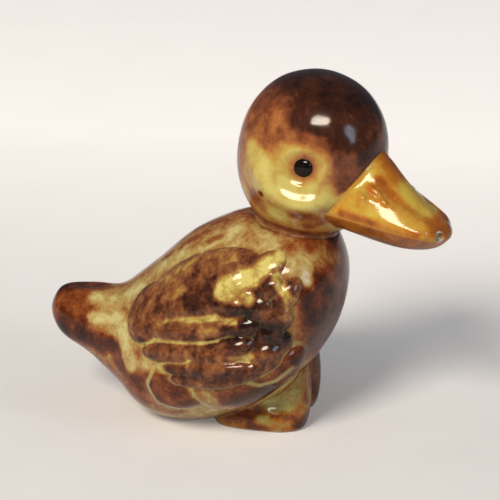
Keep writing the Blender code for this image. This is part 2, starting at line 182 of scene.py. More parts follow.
def copy_of(piece, name):
    """A piece of its own with the same shape."""
    copy = bpy.data.objects.new(name, piece.data.copy())
    bpy.context.scene.collection.objects.link(copy)
    copy.data.materials.clear()
    return copy


def clay_for(node, name):
    """A copy of a CAD node to model on, its loose triangles merged."""
    clay = copy_of(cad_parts[node], name)
    select_only(clay)
    bpy.ops.object.mode_set(mode="EDIT")
    bpy.ops.mesh.select_all(action="SELECT")
    bpy.ops.mesh.remove_doubles(threshold=0.001 * MM)
    bpy.ops.object.mode_set(mode="OBJECT")
    return clay


def soften(piece, grain, passes):
    """Runs the clay together into one even skin and smooths it, as wet clay and glaze do."""
    modify(piece, "REMESH", mode="VOXEL", voxel_size=grain)
    modify(piece, "SMOOTH", factor=0.5, iterations=passes)


def join(*pieces):
    """Joins pieces into the first of them."""
    select_only(*pieces)
    bpy.ops.object.join()
    return pieces[0]


def flank_of(piece):
    """A function that gives the place and the outward normal on the piece's side at (x, z)."""
    tree = BVHTree.FromObject(piece, bpy.context.evaluated_depsgraph_get())

    def find(x, z, side):
        place, normal, _, _ = tree.ray_cast(Vector((x, side, z)), Vector((0, -side, 0)))
        return place, normal

    return find


def add_lobe(flank, side, x, z, length, width, height, lean, bow):
    """A pillow of clay that follows the flank, at a place and with sizes in mm."""
    bpy.ops.mesh.primitive_uv_sphere_add(
        segments=LUMP_SIDES,
        ring_count=LUMP_RINGS,
        radius=0.5 * MM,
        location=(x * MM, 0, z * MM),
        rotation=(0, -math.radians(lean), 0),
        scale=(length, 2 * height, width),
    )
    bpy.ops.object.transform_apply()
    lobe = bpy.context.active_object
    for vertex in lobe.data.vertices:
        along = (vertex.co.x / MM - x) / (length / 2)
        place, out = flank(vertex.co.x, vertex.co.z + bow * MM * along**2, side)
        vertex.co = place + out * side * vertex.co.y
    return lobe


def add_lump(place, size, out, spin=0.0):
    """A lump of clay with its half sizes in mm along, across and outwards, its Z axis along out."""
    turn = out.to_track_quat("Z", "Y").to_matrix() @ Matrix.Rotation(spin, 3, "Z")
    bpy.ops.mesh.primitive_uv_sphere_add(
        segments=LUMP_SIDES,
        ring_count=LUMP_RINGS,
        radius=MM,
        location=place,
        rotation=turn.to_euler(),
        scale=size,
    )
    bpy.ops.object.transform_apply()
    return bpy.context.active_object


def cut(piece, operation, tool):
    """Cuts a piece with a closed tool, or keeps what they share. The tool is used up."""
    modify(piece, "BOOLEAN", operation=operation, solver="MANIFOLD", object=tool)
    bpy.data.objects.remove(tool)


def add_block(place, size):
    """A plain block to cut with, its middle and axes set by a matrix."""
    bpy.ops.mesh.primitive_cube_add(size=1)
    block = bpy.context.active_object
    block.matrix_world = place @ Matrix.Diagonal((*size, 1))
    bpy.ops.object.transform_apply()
    return block


def rub_flat(piece):
    """Rubs the foot of a piece flat on the ground."""
    low = Matrix.Translation((0, 0, BASE_RUB - RUB_BLOCK / 2))
    cut(piece, "DIFFERENCE", add_block(low, (RUB_BLOCK, RUB_BLOCK, RUB_BLOCK)))


def points_of(piece):
    """The places of a piece's points, in mm."""
    places = np.empty(3 * len(piece.data.vertices))
    piece.data.vertices.foreach_get("co", places)
    return places.reshape(-1, 3) / MM


def relief_of(piece, passes):
    """How far each point stands over the skin with its relief rubbed away, in mm."""
    mesh = piece.data
    places = points_of(piece)
    count = len(places)
    ends = np.empty(2 * len(mesh.edges), int)
    mesh.edges.foreach_get("vertices", ends)
    one, other = ends.reshape(-1, 2).T
    neighbours = np.bincount(one, minlength=count) + np.bincount(other, minlength=count)
    rubbed = places.copy()
    for _ in range(passes):
        sums = [
            np.bincount(one, column[other], count) + np.bincount(other, column[one], count)
            for column in rubbed.T
        ]
        rubbed = np.stack(sums, axis=1) / neighbours[:, None]
    normals = np.empty(3 * count)
    mesh.vertices.foreach_get("normal", normals)
    return ((places - rubbed) * normals.reshape(-1, 3)).sum(axis=1)


def ease(values, low, high):
    """Rises smoothly from 0 at low to 1 at high."""
    share = np.clip((values - low) / (high - low), 0, 1)
    return share * share * (3 - 2 * share)


def fade(values, low, high):
    """Falls smoothly from 1 at low to 0 at high."""
    return 1 - ease(values, low, high)


def near_side_of(places):
    """The places with those of the left side mirrored to the right, where the strokes are."""
    mirrored = places.copy()
    mirrored[:, 1] = -np.abs(places[:, 1])
    return mirrored


def brush(places, coat, strokes):
    """Brushes strokes over a coat, one after another, each with a soft edge: mostly iron, and in places
    painted shade and sheen.
    """
    for start, end, half_width, iron in strokes:
        way = np.subtract(end, start)
        share = np.clip((places - start) @ way / (way @ way or 1.0), 0, 1)
        away = np.linalg.norm(places - start - share[:, None] * way, axis=1)
        coat += (iron - coat) * fade(away / half_width, *STROKE_EDGE)


def distance_to(places, piece):
    """How far each place is from a piece's skin, in mm."""
    tree = BVHTree.FromObject(piece, bpy.context.evaluated_depsgraph_get())
    return np.array([tree.find_nearest(Vector(place) * MM)[3] for place in places]) / MM


def lay_coats(piece, iron, pool, bare):
    """Keeps the iron with its painted shade and sheen, the pooled glaze and the bare clay at every
    point, for the material to read.
    """
    layers = piece.data.attributes
    for name, values in (("iron", iron), ("pool", pool), ("bare", bare)):
        layer = layers.get(name) or layers.new(name, "FLOAT", "POINT")
        layer.data.foreach_set("value", np.clip(values, 0, 1).astype(np.float32))


def fire(piece, glaze):
    """Gives every face of a piece one glaze, and shades it smooth."""
    select_only(piece)
    bpy.ops.object.shade_smooth()
    piece.data.materials.clear()
    piece.data.materials.append(glaze)


def linear(colour):
    """A colour written as sRGB hex, as linear red, green, blue and alpha."""
    parts = [int(colour[i : i + 2], 16) / 255 for i in (1, 3, 5)]
    return (*(p / 12.92 if p <= 0.04045 else ((p + 0.055) / 1.055) ** 2.4 for p in parts), 1.0)


def add_node(tree, kind, settings):
    """Adds a node. A setting is a property, an input's value, a socket to link, or a ramp's stops."""
    node = tree.nodes.new(kind)
    for name, value in settings.items():
        if name == "stops":
            ramp = node.color_ramp.elements
            while len(ramp) < len(value):
                ramp.new(1.0)
            for element, (position, colour) in zip(ramp, value):
                element.position = position
                element.color = linear(colour)
        elif isinstance(value, bpy.types.NodeSocket):
            tree.links.new(value, node.inputs[name])
        elif isinstance(name, int) or name in node.inputs:
            node.inputs[name].default_value = value
        else:
            setattr(node, name, value)
    return node


def iron_glaze(name, coats, blotch_depth, speck_depth):
    """Glossy olive glaze on earthenware, over brushed iron oxide.

    The eye sees clear yellow where there is no iron, amber to near black where it is thick, green
    where the glaze pools, broken edges where it ran, and a wet shine; painted shade and sheen take
    these colours too.
    """
    material = bpy.data.materials.new(name)
    material.use_nodes = True
    tree = material.node_tree
    shader = tree.nodes["Principled BSDF"]
    place = add_node(tree, "ShaderNodeTexCoord", {}).outputs["Object"]
    iron = add_node(tree, "ShaderNodeAttribute", {"attribute_name": "iron"}).outputs["Fac"]
    pool = add_node(tree, "ShaderNodeAttribute", {"attribute_name": "pool"}).outputs["Fac"]
    bare = add_node(tree, "ShaderNodeAttribute", {"attribute_name": "bare"}).outputs["Fac"]
    run = add_node(tree, "ShaderNodeMapping", {"Vector": place, "Scale": (1, 1, BLOTCH_RUN)}).outputs[0]
    blotch = add_node(
        tree,
        "ShaderNodeTexNoise",
        {"Vector": run, "Scale": 1 / BLOTCH, "Detail": 3.0, "Roughness": 0.55, "Distortion": 0.25},
    ).outputs["Fac"]
    speck = add_node(
        tree,
        "ShaderNodeTexNoise",
        {"Vector": place, "Scale": 1 / SPECK, "Detail": 2.0, "Roughness": 0.6},
    ).outputs["Fac"]
    middle = (blotch_depth + speck_depth) / 2
    level = add_node(tree, "ShaderNodeMath", {"operation": "SUBTRACT", 0: iron, 1: middle}).outputs[0]
    broken = add_node(
        tree, "ShaderNodeMath", {"operation": "MULTIPLY_ADD", 0: blotch, 1: blotch_depth, 2: level}
    ).outputs[0]
    thickness = add_node(
        tree, "ShaderNodeMath", {"operation": "MULTIPLY_ADD", 0: speck, 1: speck_depth, 2: broken}
    ).outputs[0]
    coat = add_node(tree, "ShaderNodeValToRGB", {"Fac": thickness, "stops": coats}).outputs["Color"]
    pooled = add_node(
        tree, "ShaderNodeMix", {"data_type": "RGBA", 0: pool, 6: coat, 7: linear(POOL_COLOUR)}
    ).outputs[2]
    wiped = add_node(
        tree, "ShaderNodeMix", {"data_type": "RGBA", 0: bare, 6: pooled, 7: linear(CLAY_COLOUR)}
    ).outputs[2]
    tree.links.new(wiped, shader.inputs["Base Color"])
    dull = add_node(
        tree,
        "ShaderNodeMath",
        {"operation": "MULTIPLY_ADD", 0: speck, 1: SPECK_ROUGHNESS, 2: GLAZE_ROUGHNESS},
    ).outputs[0]
    matt = add_node(
        tree, "ShaderNodeMath", {"operation": "MULTIPLY_ADD", 0: bare, 1: CLAY_ROUGHNESS, 2: dull}
    ).outputs[0]
    tree.links.new(matt, shader.inputs["Roughness"])
    ripple = add_node(
        tree, "ShaderNodeTexNoise", {"Vector": place, "Scale": 1 / RIPPLE, "Detail": 2.0}
    ).outputs["Fac"]
    skin = add_node(
        tree,
        "ShaderNodeBump",
        {"Height": ripple, "Strength": RIPPLE_STRENGTH, "Distance": RIPPLE_HEIGHT},
    ).outputs[0]
    tree.links.new(skin, shader.inputs["Normal"])
    shader.inputs["IOR"].default_value = GLAZE_IOR
    return material


body = clay_for("body", "body_casting")
soften(body, BODY_GRAIN, BODY_PASSES)
modify(body, "SUBSURF", levels=1, render_levels=1)
hand = bpy.data.textures.new("hand_made", "CLOUDS")
hand.noise_scale = WOBBLE_SIZE
modify(body, "DISPLACE", texture=hand, strength=WOBBLE, mid_level=0.5)
body_flank = flank_of(body)
thighs = [add_lobe(body_flank, side, *lobe) for side in (RIGHT, LEFT) for lobe in THIGH_LOBES]
join(body, *thighs)
soften(body, SKIN_GRAIN, SKIN_PASSES)
cut(body, "DIFFERENCE", add_lump(TAIL_DISH * MM, TAIL_DISH_SIZE, TAIL_DISH_WAY))
soften(body, SKIN_GRAIN, SKIN_PASSES)
rub_flat(body)
body_flank = flank_of(body)

places = points_of(body)
relief = relief_of(body, HOLLOW_PASSES)
iron = np.full(len(places), BODY_GROUND)
brush(near_side_of(places), iron, BODY_STROKES)
iron += CREST_IRON * relief
lines = np.zeros(len(places))
for line in BODY_LINES:
    brush(places[:, [0, 2]], lines, [(*ends, LINE_WIDTH, 1.0) for ends in zip(line, line[1:])])
lines *= ease(np.abs(places[:, 1]), *LINE_EDGE)
wing_nodes = [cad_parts[name] for name in ("right_wing", "left_wing")]
to_wing = np.minimum(*(distance_to(places, node) for node in wing_nodes))
low_down = fade(places[:, 2], *LOW_EDGE)
rim = fade(to_wing, *RIM_EDGE) * low_down
iron += (RUN_IRON - iron) * fade(to_wing, *RUN_EDGE) * (1 - low_down)
hollow = ease(-relief, *HOLLOW_EDGE)
edge = np.maximum.reduce([RIM_POOL * rim, LINE_POOL * lines, HOLLOW_POOL * hollow])
iron *= 1 - POOL_THINS * edge
lay_coats(body, iron, POOL_COVERS * edge, fade(places[:, 2], *BARE_EDGE))
fire(body, iron_glaze("body_iron_glaze", BODY_COATS, *BODY_BREAK))
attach(body, "root")
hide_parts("body")

# Feet
# Each foot is a pressed pad of clay with a hollow web, luted under the front of the belly.
# Slip is wiped into the joint, so the foot runs into the belly with a soft fillet.
FOOT_GRAIN, FOOT_PASSES = 0.35 * MM, 5
SLIP_SWELL = 0.2 * MM
SLIP_SKIN = 0.08 * MM
LUTE_MARGIN = 5 * MM
# The toe and the hollow of the web, as they are on the right foot: middle and half sizes, in mm
TOE, TOE_SIZE = (5.6, -8.4, 2.2), (7.6, 3.0, 2.2)
WEB, WEB_SIZE = (9.2, -11.8, 6.4), (4.8, 2.6, 2.6)
FOOT_CREST_IRON = 0.3
FOOT_HOLLOW_EDGE = (0.1, 0.5)
FOOT_POOL = 0.3
FOOT_GROUND = 0.26
FOOT_STROKES = (
    ((-3.0, -9.4, 2.6), (2.4, -10.6, 3.0), 1.5, 0.52),
    ((2.4, -10.6, 3.4), (5.6, -10.6, 4.4), 1.3, 0.60),
    ((3.0, -10.6, 1.2), (12.0, -8.6, 1.4), 1.2, 0.68),
    ((12.4, -8.0, 1.6), (14.2, -5.0, 3.4), 2.2, 0.72),
    ((5.0, -10.8, 2.8), (7.0, -10.6, 2.9), 1.0, 0.14),
    ((7.8, -10.4, 3.4), (8.6, -10.2, 4.2), 1.0, 0.42),
    ((9.6, -9.8, 3.0), (11.2, -9.2, 3.6), 1.1, 0.60),
    ((10.6, -9.6, 5.0), (11.4, -9.4, 5.6), 1.0, 0.10),
    ((12.6, -8.2, 8.0), (13.4, -7.4, 6.4), 1.1, 0.66),
    ((14.4, -4.0, 10.0), (14.6, -3.0, 5.0), 2.4, 0.60),
    ((7.0, -10.6, 6.0), (11.6, -9.4, 8.0), 1.8, 0.10),
    ((-6.0, -8.0, 0.4), (12.0, -9.0, 0.4), 0.55, 0.22),
)
FOOT_COATS = (
    (0.00, "#B6A664"),
    (0.20, "#9A8040"),
    (0.38, "#A0601F"),
    (0.55, "#7C401C"),
    (0.76, "#4C2614"),
    (1.00, "#24110B"),
)


def keep_largest(piece):
    """Deletes the crumbs of a cut."""
    name = piece.name
    select_only(piece)
    bpy.ops.mesh.separate(type="LOOSE")
    parts = sorted(bpy.context.selected_objects, key=lambda part: len(part.data.vertices))
    for crumb in parts[:-1]:
        bpy.data.objects.remove(crumb)
    parts[-1].name = name
    return parts[-1]


def lute(clay, onto, grain, passes):
    """Lutes a piece of clay on another, which stays as it is: the fillet of slip goes with the clay."""
    places = np.array([vertex.co for vertex in clay.data.vertices])
    low, high = places.min(axis=0) - LUTE_MARGIN, places.max(axis=0) + LUTE_MARGIN
    ground = copy_of(onto, "ground")
    cut(ground, "INTERSECT", add_block(Matrix.Translation((low + high) / 2), high - low))
    clay = join(clay, ground)
    soften(clay, grain, passes)
    swollen = copy_of(onto, "swollen")
    modify(swollen, "DISPLACE", strength=SLIP_SKIN, mid_level=0.0)
    cut(clay, "DIFFERENCE", swollen)
    return keep_largest(clay)


def on_side(place, side):
    """A place on the right side, in mm, as a place on either side, in metres."""
    x, y, z = place
    return Vector((x, -side * y, z)) * MM


foot_glaze = iron_glaze("foot_iron_glaze", FOOT_COATS, *BODY_BREAK)
for side, name in ((RIGHT, "right_foot"), (LEFT, "left_foot")):
    foot = clay_for(name, name + "_clay")
    modify(foot, "DISPLACE", strength=SLIP_SWELL, mid_level=0.0)
    foot = join(foot, add_lump(on_side(TOE, side), TOE_SIZE, UP))
    soften(foot, FOOT_GRAIN, FOOT_PASSES)
    cut(foot, "DIFFERENCE", add_lump(on_side(WEB, side), WEB_SIZE, UP))
    foot = lute(foot, body, FOOT_GRAIN, FOOT_PASSES)
    rub_flat(foot)

    places = points_of(foot)
    relief = relief_of(foot, HOLLOW_PASSES)
    iron = np.full(len(places), FOOT_GROUND)
    brush(near_side_of(places), iron, FOOT_STROKES)
    iron += FOOT_CREST_IRON * relief
    pool = FOOT_POOL * ease(-relief, *FOOT_HOLLOW_EDGE)
    lay_coats(foot, iron, pool, fade(places[:, 2], *BARE_EDGE))
    fire(foot, foot_glaze)
    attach(foot, "root")
    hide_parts(name)

# Wings
# Each wing is built up of pressed lobes: a long covert pad, small coverts on the shoulder and
# flight feathers that lap under each other. They are luted on the flank with slip, iron stays on
# their crests, and the glaze pools green in the grooves.
WING_GRAIN, WING_PASSES = 0.3 * MM, 3
# The first lobes are a pad that runs softly into the flank
PAD_LOBES, PAD_PASSES = 2, 18
WING_LOBES = (
    (-2.6, 26.4, 31.5, 21.0, 0.6, 25, 0.0),  # thin pad under the lobes
    (-4.4, 32.2, 26.8, 11.0, 1.6, 21, -0.6),  # covert pad
    (-17.0, 24.9, 12.6, 8.0, 1.6, 54, 0.0),  # rear covert
    (-5.2, 24.1, 21.4, 4.9, 2.0, 11, 0.0),  # second feather
    (-6.4, 19.8, 23.4, 5.0, 2.0, 9, 0.0),  # third feather
    (-3.6, 17.3, 19.0, 3.4, 1.8, 8, 0.0),  # fourth feather
    (-0.2, 16.0, 23.0, 4.2, 1.4, 13, 0.8),  # lowest feather
    (8.8, 21.4, 8.4, 5.4, 1.7, 40, 0.0),  # front of the lowest feather
    (6.6, 36.4, 9.0, 5.0, 1.0, 34, 0.0),  # shoulder ridges
    (-0.8, 33.4, 10.0, 6.6, 2.1, 34, 0.0),
    (3.2, 31.6, 6.6, 4.2, 2.0, -12, 0.0),
    (7.2, 33.0, 7.4, 4.6, 1.9, 30, 0.0),  # small coverts, in rows
    (10.8, 31.4, 8.6, 4.4, 1.3, 52, 0.0),
    (0.8, 29.4, 7.4, 4.8, 2.2, 8, 0.0),
    (5.6, 29.6, 6.6, 5.4, 2.2, 20, 0.0),
    (9.2, 27.4, 7.4, 5.8, 1.9, 45, 0.0),
    (3.0, 25.6, 8.2, 4.6, 2.2, 14, 0.0),
    (7.8, 24.0, 7.2, 5.4, 2.0, 36, 0.0),
    (2.0, 22.2, 8.0, 4.0, 2.1, 14, 0.0),
)
# Strokes of iron on the wing: start and end in x and z, half width, all in mm, and the thickness.
# Those of the shoulder are brushed on last, over the grooves
WING_GROUND = 0.60
WING_STROKES = (
    ((-8.0, 30.4), (-1.5, 32.4), 2.8, 0.80),  # covert pad
    ((-16.0, 30.4), (-9.0, 35.4), 1.2, 0.40),
    ((-13.6, 28.6), (-9.4, 31.6), 0.8, 0.42),
    ((-7.0, 36.4), (0.0, 38.0), 1.2, 0.46),
    ((-19.5, 23.0), (-17.0, 27.0), 2.2, 0.58),  # rear covert
    ((-10.5, 25.8), (2.6, 28.0), 0.5, 0.20),  # grooves between the feathers
    ((-5.0, 24.4), (-1.0, 25.0), 0.9, 0.40),
    ((-14.0, 21.4), (-4.6, 22.4), 0.4, 0.20),
    ((-11.6, 15.8), (3.0, 17.0), 1.3, 0.76),
)
SHOULDER_STROKES = (
    ((-0.8, 29.4), (5.0, 29.6), 1.9, 0.90),  # small coverts
    ((5.4, 26.4), (9.4, 24.4), 2.8, 0.94),
    ((0.6, 24.8), (5.4, 22.6), 1.7, 0.86),
    ((5.0, 33.4), (9.0, 33.6), 1.4, 0.80),
    ((7.0, 30.6), (9.4, 29.4), 1.6, 0.74),
    ((-0.6, 33.4), (4.6, 35.4), 1.9, 0.05),  # yellow ridges of the shoulder
    ((4.6, 35.4), (9.8, 39.0), 1.5, 0.05),
    ((-1.4, 32.0), (4.4, 31.6), 1.3, 0.06),
    ((-2.0, 31.8), (-0.4, 31.8), 0.7, 0.14),
    ((2.2, 31.0), (3.4, 31.4), 0.6, 0.20),
    ((8.6, 36.6), (10.2, 33.6), 0.7, 0.46),
    ((9.4, 35.6), (12.4, 31.0), 0.9, 0.10),
    ((12.4, 31.0), (12.0, 28.0), 0.8, 0.30),
    ((-0.6, 26.8), (2.0, 27.0), 0.5, 0.24),
    ((1.6, 20.4), (5.6, 20.6), 0.5, 0.34),
)
# The shoulder itself: start, end and half width, and how much of the pooled glaze it is clear of
SHOULDER = ((3.6, 29.0), (6.4, 25.6), 6.4)
SHOULDER_CLEARS = 0.85
GROOVE_PASSES = 14
GROOVE_EDGE = (0.08, 0.26)
# The rim of the wing and the soft edge of its pad, by their distance from the body in mm
WING_RIM_EDGE = (0.2, 0.45)
PAD_EDGE = (0.1, 1.1)
PAD_RUN = 0.8
GROOVE_THINS, GROOVE_COVERS = 0.9, 0.75
WING_COATS = (
    (0.00, "#D4C26E"),
    (0.20, "#AE9046"),
    (0.38, "#946236"),
    (0.56, "#7A482B"),
    (0.76, "#4E2A1A"),
    (1.00, "#20110C"),
)
WING_BREAK = (1.15, 0.45)

wing_glaze = iron_glaze("wing_iron_glaze", WING_COATS, *WING_BREAK)
for side, name in ((RIGHT, "right_wing"), (LEFT, "left_wing")):
    lobes = [add_lobe(body_flank, side, *lobe) for lobe in WING_LOBES]
    pad = join(*lobes[:PAD_LOBES])
    pad.name = name + "_clay"
    pad = lute(pad, body, WING_GRAIN, PAD_PASSES)
    wing = lute(join(pad, *lobes[PAD_LOBES:]), body, WING_GRAIN, WING_PASSES)

    places = points_of(wing)
    on_flank = places[:, [0, 2]]
    iron = np.full(len(places), WING_GROUND)
    brush(on_flank, iron, WING_STROKES)
    to_body = distance_to(places, body)
    low_down = fade(places[:, 2], *LOW_EDGE)
    iron += (RUN_IRON - iron) * PAD_RUN * fade(to_body, *PAD_EDGE) * (1 - low_down)
    shoulder = np.zeros(len(places))
    brush(on_flank, shoulder, [(*SHOULDER, 1.0)])
    groove = ease(-relief_of(wing, GROOVE_PASSES), *GROOVE_EDGE) * (1 - SHOULDER_CLEARS * shoulder)
    edge = np.maximum(groove, RIM_POOL * fade(to_body, *WING_RIM_EDGE) * low_down)
    iron *= 1 - GROOVE_THINS * edge
    brush(on_flank, iron, SHOULDER_STROKES)
    lay_coats(wing, iron, GROOVE_COVERS * edge, np.zeros_like(iron))
    fire(wing, wing_glaze)
    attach(wing, "root")
    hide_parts(name)

# Head
# The head is a hollow ball, turned a little to the figure's right, and is luted on the neck with
# slip. A dish with a soft rim is pressed round each eye, over a puffed cheek. The crown is dark
# with iron, and the cheeks are clear yellow. The shade in the crease under the head is painted dark.
HEAD_GRAIN, HEAD_PASSES = 0.8 * MM, 6
FACE_GRAIN, FACE_PASSES = 0.38 * MM, 4
NECK_TILT = math.radians(9)
HEAD_TURN = math.radians(16)
# The head's own middle: the eyes are this far ahead of it and above it, and the neck is below it
EYE_AHEAD, EYE_ABOVE = 4.11 * MM, 0.77 * MM
HEAD_BELOW = 14.6 * MM
# Half sizes, in mm, of the ball that rounds the head out and of the slip in the crease of the neck,
# and where that slip sits on the neck
HEAD_BALL = (14.6, 14.4, 14.5)
NECK_SLIP = (8.6, 8.6, 2.6)
NECK_SLIP_PLACE = Vector((-0.5, 0, 0.5))
# Rings pressed round an eye, a little longer than high: height, radius and half width, in mm
EYE_STRETCH = 1.16
EYE_SOCKET = (-1.0, 0.0, 2.8)
EYE_RIM = (0.4, 3.7, 0.7)
CHEEK = (2.6, 7.4, 2.6)
# The cheek is only under the eye and a little behind it: its edge is in shares of the way straight
# down, which has no meaning nearer to the eye's middle than this, in mm
CHEEK_BACK = 0.35
CHEEK_EDGE = (0.1, 0.9)
EYE_MIDDLE = 0.1
# How far below an eye, into the head, the pressing ends and starts, in mm
FACE_EDGE = (-9.0, -6.0)
# Strokes on the head, in its own axes from its middle: forwards, to the left and up
HEAD_GROUND = 0.28
HEAD_STROKES = (
    ((-13.5, 0.0, -8.0), (-14.5, 0.0, 6.0), 6.0, 0.54),  # nape
    ((-12.6, -8.0, -4.0), (-10.0, -10.5, 5.0), 3.6, 0.53),
    ((-9.0, -9.0, 9.0), (-7.0, -11.0, 7.0), 3.6, 0.54),
    ((-2.0, -2.0, 14.6), (6.0, -4.0, 13.0), 9.4, 0.88),  # crown
    ((2.0, -10.0, 9.0), (8.0, -9.4, 8.0), 4.0, 0.84),
    ((10.0, -6.5, 8.0), (13.6, -3.0, 3.0), 4.4, 0.78),
    ((10.6, -9.4, 3.0), (12.0, -8.6, -1.6), 2.6, 0.64),
    ((-1.5, -13.6, 6.0), (7.0, -12.6, 6.2), 1.5, 0.54),
    ((-6.5, -12.6, 4.6), (-3.0, -13.8, 4.4), 1.9, 0.48),
    ((-7.4, -12.6, 1.6), (-3.4, -14.2, -0.6), 1.9, 0.08),  # cheek
    ((-3.0, -14.2, -3.0), (8.6, -12.2, -5.4), 3.0, 0.03),
    ((-3.4, -13.5, -6.3), (-3.3, -13.5, -6.2), 0.7, 0.74),  # brown spot
    ((-5.4, -12.2, -8.0), (-3.6, -12.4, -9.8), 1.9, 0.50),
    ((-0.6, -12.4, -10.2), (1.2, -12.4, -9.8), 1.9, 0.06),
    ((4.0, -12.2, -9.0), (7.6, -11.0, -9.2), 1.6, 0.52),
    ((9.4, -10.4, -7.6), (10.4, -9.4, -8.6), 1.4, 0.34),
    ((9.6, -9.4, -10.4), (6.0, -10.4, -12.0), 1.6, 0.56),
    ((11.0, -9.8, -5.4), (14.6, -6.6, -1.6), 1.2, 0.06),
)
# Strokes round an eye: half width in mm, and thickness
RING_STROKE = (4.2, 0.03)
DISH_STROKE = (2.8, 0.64)
# The painted shade in the crease at the neck, by its height over the neck in mm, and the hollows of the
# face
SEAM_EDGE = (1.0, 2.2)
NECK_CREASE_SHADE = 0.58
FACE_HOLLOW_EDGE = (0.1, 0.4)
FACE_POOL = 0.5
HEAD_BREAK = (0.52, 0.22)
HEAD_COATS = (
    (0.00, "#CBBA68"),
    (0.20, "#BA984A"),
    (0.38, "#AC6E3A"),
    (0.56, "#80462A"),
    (0.76, "#462415"),
    (1.00, "#1E0E0A"),
)

eye_spots = {name: sum(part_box(name), Vector()) / 2 for name in ("right_eye", "left_eye")}
head_turned = Matrix.Rotation(NECK_TILT, 4, "Y") @ Matrix.Rotation(-HEAD_TURN, 4, "Z")
between_eyes = (eye_spots["right_eye"] + eye_spots["left_eye"]) / 2
head_middle = between_eyes - head_turned @ Vector((EYE_AHEAD, 0, EYE_ABOVE))
head_place = Matrix.Translation(head_middle) @ head_turned


def from_head(places):
    """Places in the head's own axes, in mm."""
    inverse = np.array(head_place.inverted())
    return places @ inverse[:3, :3].T + inverse[:3, 3] / MM


def ring_round(away, height, radius, half_width):
    """A soft ring round a middle, raised, or pressed in where its height is below 0."""
    return height * np.exp(-(((away - radius) / half_width) ** 2))


head = clay_for("head", "head_casting")
soften(head, HEAD_GRAIN, HEAD_PASSES)
modify(head, "SUBSURF", levels=1, render_levels=1)
modify(head, "DISPLACE", texture=hand, strength=WOBBLE, mid_level=0.5)
neck_up = head_turned.to_3x3() @ UP
slip_place = head_middle - neck_up * HEAD_BELOW + NECK_SLIP_PLACE * MM
head_ball = add_lump(head_middle, HEAD_BALL, neck_up)
head = join(head, head_ball, add_lump(slip_place, NECK_SLIP, neck_up))
soften(head, FACE_GRAIN, FACE_PASSES)
head = lute(head, body, FACE_GRAIN, FACE_PASSES)

places = points_of(head)
seen = from_head(places)
iron = np.full(len(places), HEAD_GROUND)
brush(near_side_of(seen), iron, HEAD_STROKES)
for spot in eye_spots.values():
    out = (spot - head_middle).normalized()
    above = (neck_up - out * neck_up.dot(out)).normalized()
    ahead = above.cross(out)
    spot_mm = np.array(spot) / MM
    brush(places, iron, [(spot_mm, spot_mm, *RING_STROKE), (spot_mm, spot_mm, *DISH_STROKE)])
    from_eye = places - spot_mm
    away = np.hypot(from_eye @ ahead / EYE_STRETCH, from_eye @ above)
    down = from_eye @ np.array(-above - CHEEK_BACK * ahead)
    shift = ring_round(away, *EYE_SOCKET) + ring_round(away, *EYE_RIM)
    shift += ring_round(away, *CHEEK) * ease(down / np.maximum(away, EYE_MIDDLE), *CHEEK_EDGE)
    places += np.outer(shift * ease(from_eye @ out, *FACE_EDGE), out)
head.data.vertices.foreach_set("co", places.ravel() * MM)
# painted shade: the lowest band of the head, in the crease over the neck, is darkened
iron += (NECK_CREASE_SHADE - iron) * fade(seen[:, 2] + HEAD_BELOW / MM, *SEAM_EDGE)
pool = FACE_POOL * ease(-relief_of(head, HOLLOW_PASSES), *FACE_HOLLOW_EDGE)
lay_coats(head, iron, pool, np.zeros_like(iron))
fire(head, iron_glaze("head_iron_glaze", HEAD_COATS, *HEAD_BREAK))
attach(head, "root")
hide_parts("head")

# Bill
# The bill is pressed in two halves, which meet at the mouth, and is luted on the face. It has a
# wrinkled nostril on each side, amber glaze with brown streaks, and a chip at its tip that shows
# the grey clay.
BILL_GRAIN, BILL_PASSES = 0.28 * MM, 5
BILL_SLIP = 0.45 * MM
ROOT_GRAIN, ROOT_PASSES = 0.45 * MM, 22
MOUTH_BELOW = 7.3 * MM
MOUTH_BLOCK = 100 * MM
BILL_PITCH = math.radians(3)
# The way a nostril faces: forwards, sideways and up. Its wrinkles, in the head's axes on the right
# side: place and half sizes in mm, and spin in degrees
NOSTRIL_OUT = (0.2, 0.8, 0.6)
NOSTRIL_PASSES = 3
NOSTRILS = (
    ((15.0, -7.4, -3.4), (1.9, 0.8, 1.0), 60),
    ((16.4, -6.0, -1.8), (2.3, 0.8, 1.0), 35),
    ((18.4, -5.8, -3.2), (2.4, 0.7, 1.0), 50),
)
# The swell of a side over the mouth: start and end, half width and height, in mm, the way it goes,
# and where it starts by its distance from the head
BILL_SWELL = ((12.0, -9.0, -4.6), (27.0, -5.8, -6.2), 2.8, 0.9)
SWELL_WAY = (0.1, -0.75, 0.6)
SWELL_EDGE = (0.2, 2.0)
